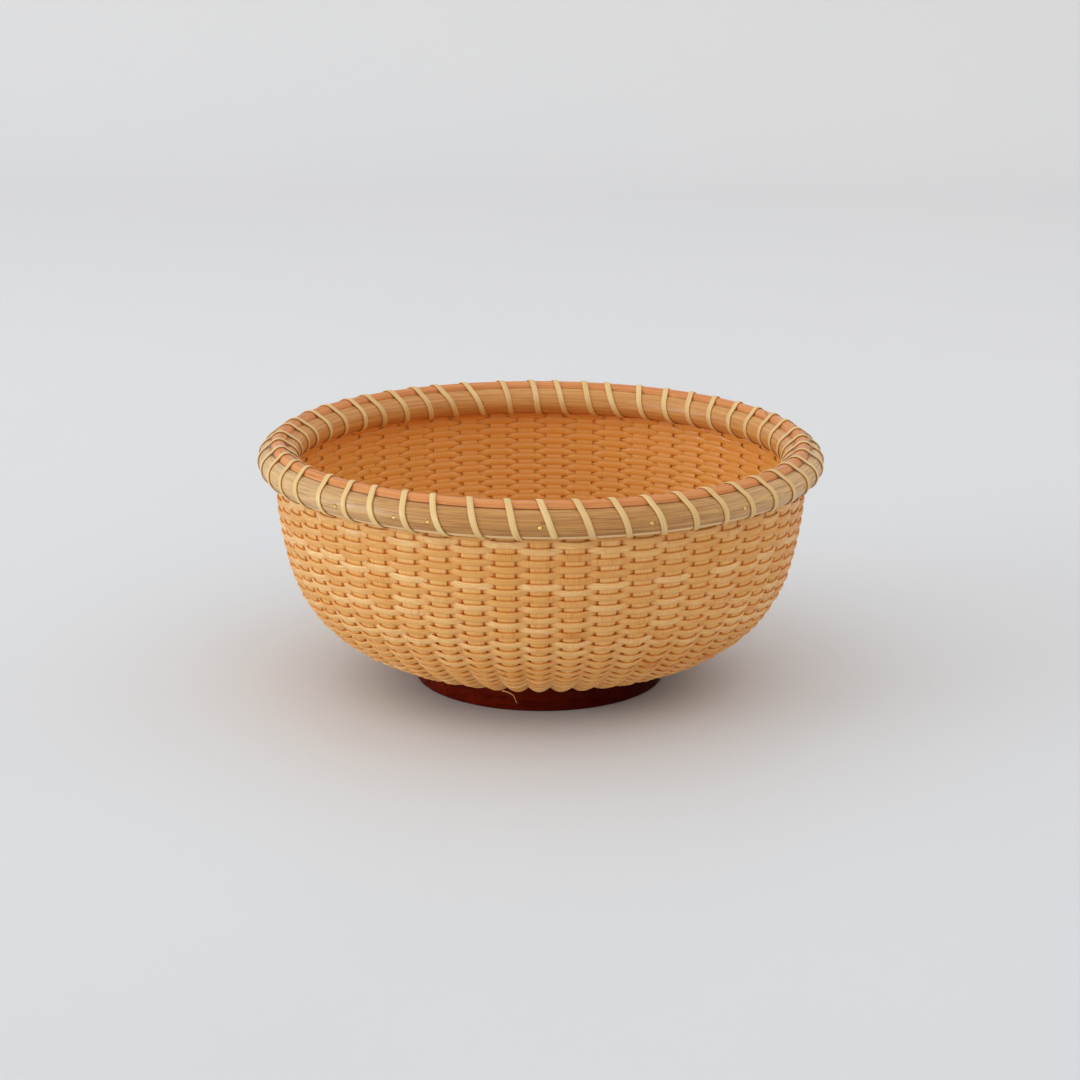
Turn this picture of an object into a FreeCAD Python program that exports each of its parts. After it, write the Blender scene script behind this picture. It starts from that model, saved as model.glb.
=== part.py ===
"""Open round bowl basket: cane woven on tapered staves, bound rim, turned wooden base. Millimetres, +Z up.

The origin is the centre of the foot's underside. Angles are degrees round +Z from the front (-Y) towards +X.
"""
import FreeCAD, Part
import math
import os

from FreeCAD import Vector

# Turned base
FOOT_R = 38.3            # radius of the foot that shows below the weave
FOOT_H = 8.9             # height of the foot up to its shoulder
FOOT_ROUND = 1.0         # rounding of the foot's lower edge
STAND_W = 6.6            # width of the flat ring that the foot stands on, round a hollow
RECESS_DEPTH = 1.4
SHOULDER_W = 1.0         # how far the base stands out over the foot
BASE_LID = 4.6           # wood above the kerf
BASE_ROUND = 1.6         # rounding of the base's upper edge, inside the bowl
KERF_DEPTH = 7.0
PLUG_R = 4.0             # peg that fills the hole the base was bolted to its mould by
PLUG_CROWN = 0.5

# Bowl wall, measured on the middle of the staves
WALL_R = 78.9            # radius under the rim
BOWL_DEPTH = 54.1        # from the kerf up to the underside of the hoops
SHOULDER_TURN = 16.7     # turn of the wall's upper, flatter arc

# Staves
STAVE_COUNT = 51         # odd, so that one strand weaves over and under by turns
STAVE_GAP = 4.32         # between two staves under the rim; both taper with the radius
STAVE_T = 0.9

# Weaver
ROW_PITCH_LOW = 1.41     # from one row to the next at the base, where they are packed closer
ROW_PITCH_HIGH = 1.77    # the same under the rim
ROW_GAP = 0.1            # between one row of the weaver and the next
WEAVER_T = 0.7
WEAVER_TIP = 0.45        # length of the tapered tips left off, in turns
EDGE_GAP = 0.8           # between the base and the first row

# Rim
HOOP_H = 8.5             # height of a half-round hoop
HOOP_D = 5.45            # radial depth of a hoop
HOOP_FLAT = 1.2          # flat top and bottom of a hoop before its round face
SCARF_GAP = 0.15
SCARF_LEAN = 22.0        # lean of a scarf joint from the rim's own direction
OUTER_SCARF_AFTER = 1    # pin that the outer hoop's scarf follows, counted from the front
INNER_SCARF_AFTER = 9
CAP_SCARF_AFTER = 5
CAP_W = 4.6              # width of the crowned strip over the stave tops
CAP_H = 1.75

# Lashing
LASH_W = 1.95
LASH_T = 0.6
LASH_TUCK = 0.12         # length left off at the hidden end, in loops

# Brass pins
PIN_EVERY = 3            # one pin in every third stave
PIN_EXTRA_STAVE = 47     # one more beside a lap of the hoop
PIN_DROP = 0.1           # below the middle of the hoop
PIN_SHANK_R = 0.4
PIN_HEAD_R = 0.65
PIN_HEAD_H = 0.55
PIN_HEAD_LIP = 0.15      # upright edge of a head, under its dome
PIN_SINK = 0.1           # depth of a head's seat at its lower edge
PIN_BITE = 3.6           # how far a shank goes into the inner hoop

# Clearances and how finely the strands are drawn
FIT = 0.05
SHOULDER_GAP = 0.3       # between the foot's shoulder and the weave above it
STEPS_PER_STAVE = 4
STEPS_PER_LOOP = 36
LOOPS_PER_RUN = 3

# Sizes that follow from those above
BASE_R = FOOT_R + SHOULDER_W     # radius of the base at the kerf that takes the stave feet
STAVE_PITCH = 360.0 / STAVE_COUNT
STAVE_SPAN = STAVE_PITCH - math.degrees(STAVE_GAP / WALL_R)
PIN_PITCH = PIN_EVERY * STAVE_PITCH
RECESS_R = FOOT_R - FOOT_ROUND - STAND_W - RECESS_DEPTH


def flat_topped(wave):
    """A cosine with its crests flattened, so that the strand lies along a stave before it dives."""
    return 1.5 * wave - 0.5 * wave ** 3


EDGE_PHASE = math.radians(90.0 * STAVE_SPAN / STAVE_PITCH)
WEAVE_SWING = (STAVE_T / 2 + WEAVER_T / 2 + FIT) / flat_topped(math.cos(EDGE_PHASE))
WEAVE_HALF = WEAVE_SWING + WEAVER_T / 2
KERF_Z = FOOT_H + SHOULDER_GAP + WEAVE_HALF
BASE_TOP = KERF_Z + STAVE_T / 2 + BASE_LID
HOOP_Z = KERF_Z + BOWL_DEPTH
HOOP_MID = HOOP_Z + HOOP_H / 2
HOOP_TOP = HOOP_Z + HOOP_H
OUTER_FACE = WALL_R + STAVE_T / 2 + FIT
INNER_FACE = WALL_R - STAVE_T / 2 - FIT
HOOP_SAG = HOOP_D - HOOP_FLAT
HOOP_ROUND = ((HOOP_H / 2) ** 2 + HOOP_SAG ** 2) / (2 * HOOP_SAG)
CAP_ROUND = ((CAP_W / 2) ** 2 + CAP_H ** 2) / (2 * CAP_H)
CAP_Z = HOOP_TOP + FIT
PIN_Z = HOOP_MID - PIN_DROP
LASH_OFFSET = FIT + LASH_T / 2

# The wall's two tangent arcs: level at the base, upright at the rim
TURN = math.radians(SHOULDER_TURN)
SPAN = WALL_R - BASE_R
SOLVE = math.cos(TURN) + math.sin(TURN) - 1.0
BELLY_R = (SPAN * math.sin(TURN) - BOWL_DEPTH * (1.0 - math.cos(TURN))) / SOLVE
SHOULDER_R = (BOWL_DEPTH * math.cos(TURN) - SPAN * (1.0 - math.sin(TURN))) / SOLVE
BELLY_LENGTH = BELLY_R * (math.pi / 2 - TURN)
WALL_LENGTH = BELLY_LENGTH + SHOULDER_R * TURN

AXIS = Vector(0, 0, 1)
CENTRE = Vector(0, 0, 0)


def at(radius, angle, height):
    """The point at a radius, an angle from the front and a height."""
    turn = math.radians(angle)
    return Vector(radius * math.sin(turn), -radius * math.cos(turn), height)


def section(radius, height):
    """A point of a section drawn in the plane of +X and +Z."""
    return Vector(radius, 0, height)


def line(start, end):
    return Part.LineSegment(start, end).toShape()


def arc(start, middle, end):
    return Part.Arc(start, middle, end).toShape()


def face_of(edges):
    return Part.Face(Part.Wire(edges))


def polyline(points):
    return [line(a, b) for a, b in zip(points, points[1:])]


def ring(edges):
    """A full turn of a section about the basket's axis."""
    return face_of(edges).revolve(CENTRE, AXIS, 360)


def from_front(shape, angle):
    """A shape drawn along +X, turned to an angle measured from the front."""
    return shape.rotated(CENTRE, AXIS, angle - 90.0)


def wall_slope(length):
    """How far the wall leans from upright at a length along it from the base, in radians."""
    if length <= BELLY_LENGTH:
        return math.pi / 2 - length / BELLY_R
    return TURN - (length - BELLY_LENGTH) / SHOULDER_R


def wall_point(slope, offset):
    """Radius and height on the wall where it leans by slope, moved out by offset."""
    shift = (BELLY_R - SHOULDER_R) if slope < TURN else 0.0
    bend = SHOULDER_R if slope < TURN else BELLY_R
    radius = BASE_R + shift * math.cos(TURN) + (bend + offset) * math.cos(slope)
    height = KERF_Z + BELLY_R - shift * math.sin(TURN) - (bend + offset) * math.sin(slope)
    return radius, height


def wall_edges(offset):
    """The wall's section from the base up to the hoops, as two arcs, moved out by offset."""
    def spot(slope):
        return section(*wall_point(slope, offset))
    belly_mid = (math.pi / 2 + TURN) / 2
    belly = arc(spot(math.pi / 2), spot(belly_mid), spot(TURN))
    shoulder = arc(spot(TURN), spot(TURN / 2), spot(0.0))
    return [belly, shoulder]


def make_base():
    """The turned base: foot, hollow underside, kerf for the staves and a rounded lid."""
    kerf_half = STAVE_T / 2 + FIT
    kerf_in = BASE_R - KERF_DEPTH - FIT
    slant = 1.0 - math.sqrt(0.5)
    foot_round = [
        section(FOOT_R - FOOT_ROUND, 0),
        section(FOOT_R - FOOT_ROUND * slant, FOOT_ROUND * slant),
        section(FOOT_R, FOOT_ROUND)]
    lid_round = [
        section(BASE_R, BASE_TOP - BASE_ROUND),
        section(BASE_R - BASE_ROUND * slant, BASE_TOP - BASE_ROUND * slant),
        section(BASE_R - BASE_ROUND, BASE_TOP)]
    below = [
        section(PLUG_R + FIT, RECESS_DEPTH),
        section(RECESS_R, RECESS_DEPTH),
        section(RECESS_R + RECESS_DEPTH, 0),
        foot_round[0]]
    side = [
        foot_round[2],
        section(FOOT_R, FOOT_H),
        section(BASE_R, FOOT_H),
        section(BASE_R, KERF_Z - kerf_half),
        section(kerf_in, KERF_Z - kerf_half),
        section(kerf_in, KERF_Z + kerf_half),
        section(BASE_R, KERF_Z + kerf_half),
        lid_round[0]]
    above = [lid_round[2], section(PLUG_R + FIT, BASE_TOP), below[0]]
    edges = polyline(below) + [arc(*foot_round)] + polyline(side) + [arc(*lid_round)] + polyline(above)
    return ring(edges)


def domed_peg(radius, length, crown):
    """A round peg up +Z from the origin, whose top is part of a ball and rises by crown."""
    ball_r = (radius ** 2 + crown ** 2) / (2 * crown)
    rod = Part.makeCylinder(radius, length + crown)
    ball = Part.makeSphere(ball_r, Vector(0, 0, length + crown - ball_r))
    trunk = Part.makeCylinder(radius, length)
    return trunk.fuse(rod.common(ball)).removeSplitter()


def make_plug():
    """The peg in the middle of the base, crowned on top and flush with the hollow underneath."""
    peg = domed_peg(PLUG_R, BASE_TOP - RECESS_DEPTH, PLUG_CROWN)
    return peg.translated(Vector(0, 0, RECESS_DEPTH))


def make_stave():
    """One stave at the front: its foot in the kerf, its top between the hoops."""
    half = STAVE_T / 2
    foot_in = BASE_R - KERF_DEPTH
    outer = wall_edges(half)
    inner = wall_edges(-half)
    corners = {
        "foot_low": section(foot_in, KERF_Z - half),
        "foot_high": section(foot_in, KERF_Z + half),
        "edge_low": section(BASE_R, KERF_Z - half),
        "edge_high": section(BASE_R, KERF_Z + half),
        "rim_out": section(WALL_R + half, HOOP_Z),
        "rim_in": section(WALL_R - half, HOOP_Z),
        "top_out": section(WALL_R + half, HOOP_TOP),
        "top_in": section(WALL_R - half, HOOP_TOP)}
    edges = [line(corners["foot_low"], corners["edge_low"])]
    edges += outer
    edges += polyline([corners[key] for key in ("rim_out", "top_out", "top_in", "rim_in")])
    edges += inner[::-1]
    edges += polyline([corners[key] for key in ("edge_high", "foot_high", "foot_low")])
    blank = Part.Face(Part.Wire(Part.__sortEdges__(edges)))
    strip = blank.revolve(CENTRE, AXIS, STAVE_SPAN)
    return strip.rotated(CENTRE, AXIS, -90.0 - STAVE_SPAN / 2)


def strip_solid(sections, per_run):
    """A closed strip through four-cornered sections, with per_run sections to each length of its skin."""
    corners = len(sections[0])
    faces = [face_of(polyline(list(end) + [end[0]])) for end in (sections[0], sections[-1])]
    for first in range(0, len(sections) - 1, per_run):
        run = sections[first:first + per_run + 1]
        marks = [step / (len(run) - 1) for step in range(len(run))]
        edges = []
        for corner in range(corners):
            curve = Part.BSplineCurve()
            curve.interpolate(Points=[points[corner] for points in run], Parameters=marks)
            edges.append(curve.toShape())
        for corner in range(corners):
            faces.append(Part.makeRuledSurface(edges[corner], edges[(corner + 1) % corners], 1))
    shell = Part.makeShell(faces)
    shell.sewShape()
    solid = Part.makeSolid(Part.Shell(shell.Faces))
    if solid.Volume < 0:
        solid.reverse()
    return solid


def weave_corners(turns, low, high):
    """The weaver's four corners after so many turns, between two lengths along the wall."""
    angle = 360.0 * turns
    swing = WEAVE_SWING * flat_topped(math.cos(math.radians(angle) * STAVE_COUNT / 2))
    marks = ((low, -1), (low, 1), (high, 1), (high, -1))
    spots = [wall_point(wall_slope(length), swing + side * WEAVER_T / 2) for length, side in marks]
    return [at(radius, angle, height) for radius, height in spots]


def make_weaver():
    """The weaver: one strand, over and under the staves in turn, spiralling from the base to the rim."""
    start = EDGE_GAP
    lash_low = HOOP_MID - HOOP_ROUND - LASH_OFFSET - LASH_T / 2
    length = WALL_LENGTH - (HOOP_Z - lash_low) - ROW_GAP - start
    rows = 2 * length / (ROW_PITCH_LOW + ROW_PITCH_HIGH)
    gain = (ROW_PITCH_HIGH - ROW_PITCH_LOW) / (2 * rows)
    steps_per_turn = STAVE_COUNT * STEPS_PER_STAVE
    first = math.ceil(WEAVER_TIP * steps_per_turn)
    last = math.floor((rows + 1 - WEAVER_TIP) * steps_per_turn)

    def level(turns):
        done = min(max(turns, 0.0), rows)
        return start + ROW_PITCH_LOW * done + gain * done ** 2

    sections = []
    for step in range(first, last + 1):
        turns = step / steps_per_turn
        sections.append(weave_corners(turns, level(turns - 1), level(turns) - ROW_GAP))
    return strip_solid(sections, steps_per_turn)


def hoop_edges(face_r, way):
    """The half-round section of a hoop on its flat face, bulging out (way 1) or in (way -1)."""
    flat = face_r + way * HOOP_FLAT
    crown = face_r + way * HOOP_D
    low = [section(face_r, HOOP_TOP), section(face_r, HOOP_Z), section(flat, HOOP_Z)]
    high = [section(flat, HOOP_TOP), low[0]]
    return polyline(low) + [arc(low[2], section(crown, HOOP_MID), high[0])] + polyline(high)


def scarf_slit(radius, after_pin):
    """A thin slanting cut through a strip of the rim, where its two tapered ends overlap between two pins."""
    reach = 2 * max(HOOP_D, CAP_W) / math.sin(math.radians(SCARF_LEAN))
    tall = 2 * (HOOP_H + CAP_H)
    slit = Part.makeBox(reach, SCARF_GAP, tall, Vector(-reach / 2, -SCARF_GAP / 2, -tall / 2))
    slit = slit.rotated(CENTRE, AXIS, 90.0 - SCARF_LEAN).translated(section(radius, HOOP_MID))
    return from_front(slit, (after_pin + 0.5) * PIN_PITCH)


def pin_staves():
    """The numbers of the staves that a pin goes through, counted from 0 at the front."""
    return sorted(set(range(0, STAVE_COUNT, PIN_EVERY)) | {PIN_EXTRA_STAVE % STAVE_COUNT})


def pin_seat_r():
    """Radius of the flat that a pin's head sits on, which lies inside the hoop's face all round."""
    drop = PIN_DROP + PIN_HEAD_R + FIT
    return OUTER_FACE + HOOP_D - HOOP_ROUND + math.sqrt(HOOP_ROUND ** 2 - drop ** 2) - PIN_SINK


def pin_tip_r():
    return INNER_FACE - PIN_BITE


def radial_rod(radius, start, end):
    """A round rod along +X at the pins' height."""
    return Part.makeCylinder(radius, end - start, section(start, PIN_Z), Vector(1, 0, 0))


def pin_hole():
    """The hole that a pin fills, with the flat that its head sits on."""
    seat = pin_seat_r()
    bore = radial_rod(PIN_SHANK_R + FIT, pin_tip_r() - FIT, seat + PIN_HEAD_H)
    flat = radial_rod(PIN_HEAD_R + FIT, seat, seat + HOOP_D)
    return bore.fuse(flat)


def make_pin():
    """One brass pin along +X: a round shank and a domed head."""
    seat = pin_seat_r()
    shank = radial_rod(PIN_SHANK_R, pin_tip_r(), seat)
    head = domed_peg(PIN_HEAD_R, PIN_HEAD_LIP, PIN_HEAD_H - PIN_HEAD_LIP)
    head = head.rotated(CENTRE, Vector(0, 1, 0), 90).translated(section(seat, PIN_Z))
    return shank.fuse(head).removeSplitter()


def make_hoop(face_r, way, scarf_after):
    """A half-round hoop with its scarf joint and its pin holes."""
    holes = [from_front(pin_hole(), number * STAVE_PITCH) for number in pin_staves()]
    slit = scarf_slit(face_r + way * HOOP_D / 2, scarf_after)
    return ring(hoop_edges(face_r, way)).cut(holes + [slit])


def make_cap():
    """The crowned strip that covers the stave tops and lies on both hoops."""
    half = CAP_W / 2
    strip = ring([
        line(section(WALL_R - half, CAP_Z), section(WALL_R + half, CAP_Z)),
        arc(section(WALL_R + half, CAP_Z), section(WALL_R, CAP_Z + CAP_H), section(WALL_R - half, CAP_Z))])
    return strip.cut(scarf_slit(WALL_R, CAP_SCARF_AFTER))


def lash_belt():
    """The lashing's way once round the rim, as lines and arcs, each with its length, from under the wall.

    It is a belt round three circles: the inner hoop, the cap and the outer hoop.
    """
    wide = HOOP_ROUND + LASH_OFFSET
    small = CAP_ROUND + LASH_OFFSET
    outer = (OUTER_FACE + HOOP_D - HOOP_ROUND, HOOP_MID)
    inner = (INNER_FACE - HOOP_D + HOOP_ROUND, HOOP_MID)
    cap = (WALL_R, CAP_Z + CAP_H - CAP_ROUND)
    reach = math.hypot(cap[0] - outer[0], cap[1] - outer[1])
    lean = math.atan2(outer[0] - cap[0], cap[1] - outer[1])
    leave = lean + math.asin((wide - small) / reach)
    under = (outer[0] - inner[0]) / 2
    slant = math.sqrt(reach ** 2 - (wide - small) ** 2)

    def run(spot, radius, angle, way, length):
        start = (spot[0] + radius * math.cos(angle), spot[1] + radius * math.sin(angle))
        return ("line", start, angle, way, length)

    down = -math.pi / 2
    return [
        run((WALL_R, HOOP_MID), wide, down, (-1.0, 0.0), under),
        ("arc", inner, wide, (-down + math.pi, math.pi - leave), wide * (math.pi / 2 + leave)),
        run(inner, wide, math.pi - leave, (math.sin(leave), math.cos(leave)), slant),
        ("arc", cap, small, (math.pi - leave, leave), small * (math.pi - 2 * leave)),
        run(cap, small, leave, (math.sin(leave), -math.cos(leave)), slant),
        ("arc", outer, wide, (leave, down), wide * (leave - down)),
        run(outer, wide, down, (-1.0, 0.0), under)]


def belt_spot(belt, length):
    """Place, outward normal and direction in the rim's section, at a length along the belt."""
    for kind, spot, turn, way, extent in belt:
        if length <= extent or belt[-1][1] == spot:
            break
        length -= extent
    if kind == "line":
        place = (spot[0] + way[0] * length, spot[1] + way[1] * length)
        return place, (math.cos(turn), math.sin(turn)), way
    start, end = way
    angle = start + (end - start) * length / extent
    normal = (math.cos(angle), math.sin(angle))
    place = (spot[0] + turn * normal[0], spot[1] + turn * normal[1])
    return place, normal, (normal[1], -normal[0])


def lash_corners(belt, around, loops):
    """The lashing's four corners after so many loops, starting between two staves.

    It goes straight through the wall, and moves on by one stave over the rest of the loop.
    """
    length = around * (loops % 1.0)
    straight = belt[0][-1]
    free = around - 2 * straight
    moved = min(max(length - straight, 0.0), free)
    angle = STAVE_PITCH * (math.floor(loops) + 0.5 + moved / free)
    place, normal, way = belt_spot(belt, length)
    out = at(1.0, angle, 0.0)
    side = AXIS.cross(out)
    drift = place[0] * math.radians(STAVE_PITCH) / free if 0.0 < moved < free else 0.0
    spot = at(place[0], angle, place[1])
    up = (out * normal[0] + AXIS * normal[1]) * (LASH_T / 2)
    run = out * way[0] + AXIS * way[1] + side * drift
    across = run.cross(up).normalize() * (LASH_W / 2)
    return [spot - across - up, spot + across - up, spot + across + up, spot - across + up]


def make_lashing():
    """The lashing: one flat strand, once round the rim in each gap between staves."""
    belt = lash_belt()
    around = sum(piece[-1] for piece in belt)
    steps = math.floor((STAVE_COUNT - LASH_TUCK) * STEPS_PER_LOOP)
    sections = [lash_corners(belt, around, step / STEPS_PER_LOOP) for step in range(steps + 1)]
    middles = [(corners[0] + corners[2]) * 0.5 for corners in sections]
    gap = min(
        middles[step].distanceToPoint(middles[other]) - LASH_W
        for step in range(len(middles))
        for other in range(step + STEPS_PER_LOOP // 2, min(step + 2 * STEPS_PER_LOOP, len(middles))))
    print("lashing: least gap between neighbouring loops %.2f mm" % gap)
    return strip_solid(sections, STEPS_PER_LOOP * LOOPS_PER_RUN)


def make_staves():
    """Every stave, with a hole where a pin goes through it."""
    blank = make_stave()
    drilled = blank.cut(from_front(pin_hole(), 0.0))
    pinned = pin_staves()
    staves = {}
    for number in range(STAVE_COUNT):
        stave = drilled if number in pinned else blank
        staves["stave_%02d" % (number + 1)] = stave.rotated(CENTRE, AXIS, number * STAVE_PITCH)
    return staves


def make_pins():
    """All the brass pins, as one group of separate solids."""
    return Part.makeCompound([from_front(make_pin(), number * STAVE_PITCH) for number in pin_staves()])


def make_parts():
    """Every node of the basket, by name."""
    parts = {"base": make_base(), "mould_plug": make_plug()}
    parts.update(make_staves())
    parts["weaver"] = make_weaver()
    parts["outer_hoop"] = make_hoop(OUTER_FACE, 1, OUTER_SCARF_AFTER)
    parts["inner_hoop"] = make_hoop(INNER_FACE, -1, INNER_SCARF_AFTER)
    parts["rim_cap"] = make_cap()
    parts["lashing"] = make_lashing()
    parts["brass_pins"] = make_pins()
    return parts


os.makedirs("parts", exist_ok=True)
for node, shape in make_parts().items():
    shape.exportStep("parts/%s.step" % node)
    print("%s: %d solids, %.1f cubic mm, valid %s" % (node, len(shape.Solids), shape.Volume, shape.isValid()))
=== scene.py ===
"""The looks of an open round bowl basket: cane woven on tapered staves, a bound rim and a turned wooden base.

Metres, +Z up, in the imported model's own frame. Angles go round +Z from the front (-Y) towards +X.
"""

import logging
import math
from dataclasses import dataclass, field
from enum import Enum

import bpy
import numpy as np
from mathutils import Matrix, Vector


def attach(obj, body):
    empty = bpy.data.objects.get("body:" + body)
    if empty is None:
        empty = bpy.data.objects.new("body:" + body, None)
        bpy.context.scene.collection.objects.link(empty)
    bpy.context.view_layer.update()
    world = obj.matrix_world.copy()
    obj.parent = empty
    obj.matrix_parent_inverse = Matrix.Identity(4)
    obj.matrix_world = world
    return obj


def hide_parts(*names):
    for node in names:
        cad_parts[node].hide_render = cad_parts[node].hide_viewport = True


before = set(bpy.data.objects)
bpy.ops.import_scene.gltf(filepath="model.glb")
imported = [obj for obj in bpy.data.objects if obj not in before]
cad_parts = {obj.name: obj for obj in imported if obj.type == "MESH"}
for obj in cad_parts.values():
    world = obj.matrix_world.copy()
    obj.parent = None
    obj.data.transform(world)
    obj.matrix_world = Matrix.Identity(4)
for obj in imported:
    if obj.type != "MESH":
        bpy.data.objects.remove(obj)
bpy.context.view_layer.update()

MM = 0.001
BODY = "root"
LOG = logging.getLogger("basket")

# What each point of a strip keeps for its finish
MARKS = ("along", "across", "edge", "tone", "bare", "inner", "crazed")
# How far the fibres move on from strip to strip, for each point of the strips before
FIBRE_SHIFT = 0.37 * MM

Colour = tuple[float, float, float, float]
Tint = tuple[float, float, float]
Point = tuple[float, float, float]
PerStep = np.ndarray | float
Material = bpy.types.Material
Node = bpy.types.Node
Piece = bpy.types.Object
Socket = bpy.types.NodeSocket
Tree = bpy.types.NodeTree


def paint(red: int, green: int, blue: int) -> Colour:
    """Turns a colour written as it should show, 0 to 255, into the linear colour that a shader takes.

    Args:
        red: Red, 0 to 255.
        green: Green, 0 to 255.
        blue: Blue, 0 to 255.

    Returns:
        The linear colour with full alpha.
    """
    def linear(level: int) -> float:
        """Undoes the display curve for one channel."""
        share = level / 255.0
        return share / 12.92 if share <= 0.04045 else ((share + 0.055) / 1.055) ** 2.4
    return linear(red), linear(green), linear(blue), 1.0


def around(radius: np.ndarray, angle: np.ndarray, height: np.ndarray) -> np.ndarray:
    """Points at radii, angles from the front and heights.

    Args:
        radius: Distances from the basket's axis.
        angle: Angles from the front, in radians.
        height: Heights above the floor.

    Returns:
        An array of points, one row each.
    """
    radius, angle, height = np.broadcast_arrays(radius, angle, height)
    return np.stack([radius * np.sin(angle), -radius * np.cos(angle), height], axis=-1)


def unit(vectors: np.ndarray) -> np.ndarray:
    """Scales each row to length 1."""
    return vectors / np.linalg.norm(vectors, axis=-1, keepdims=True)


def travelled(points: np.ndarray) -> np.ndarray:
    """Length along a line of points, from 0 at the first."""
    return np.concatenate(([0.0], np.cumsum(np.linalg.norm(np.diff(points, axis=0), axis=1))))


def smooth(values: np.ndarray, low: float, high: float) -> np.ndarray:
    """A smooth step from 0 at low to 1 at high."""
    share = np.clip((values - low) / (high - low), 0.0, 1.0)
    return share * share * (3.0 - 2.0 * share)


class Shave(Enum):
    """How a strip is shaved: the outline of its section, in half widths across and half thicknesses out."""

    CROWNED = (
        (1.0, -0.2), (0.95, 0.32), (0.78, 0.68), (0.42, 0.92), (0.0, 1.0), (-0.42, 0.92),
        (-0.78, 0.68), (-0.95, 0.32), (-1.0, -0.2), (-0.86, -0.86), (0.0, -1.0), (0.86, -0.86))
    FLAT = (
        (1.0, -0.4), (1.0, 0.4), (0.965, 0.82), (0.88, 1.0), (0.45, 1.06), (0.0, 1.08), (-0.45, 1.06),
        (-0.88, 1.0), (-0.965, 0.82), (-1.0, 0.4), (-1.0, -0.4), (-0.965, -0.82), (-0.88, -1.0),
        (0.0, -1.05), (0.88, -1.0), (0.965, -0.82))
    ROUND = (
        (1.0, 0.0), (0.707, 0.707), (0.0, 1.0), (-0.707, 0.707),
        (-1.0, 0.0), (-0.707, -0.707), (0.0, -1.0), (0.707, -0.707))


class Chance(Enum):
    """What is left to chance, each with its own seed, so that every run gives the same basket."""

    STRAY = 51
    WEAVER = 7
    STAVES = 19
    LASHING = 29

    def source(self) -> np.random.Generator:
        """A fresh source of chance."""
        return np.random.default_rng(self.value)


@dataclass
class StripRun:
    """One length of strip, step by step along its middle line.

    Attributes:
        middle: Points on the middle line.
        out: The way its good face looks at each point.
        half_width: Half its width.
        half_thick: Half its thickness.
        tone: 0 for pale cane, 1 for amber.
        bare: 1 where the strip lies bare, 0 where it lies under another, where its finish paints shade.
        crazed: 1 where fine cracks cross its skin, 0 where it is sound.
        crown: How far its good face swells in the middle.
        lean: How far its upper edge leans out, in radians.
    """

    middle: np.ndarray
    out: np.ndarray
    half_width: PerStep
    half_thick: PerStep
    tone: PerStep
    bare: PerStep = 1.0
    crazed: PerStep = 0.0
    crown: PerStep = 0.0
    lean: PerStep = 0.0


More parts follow.
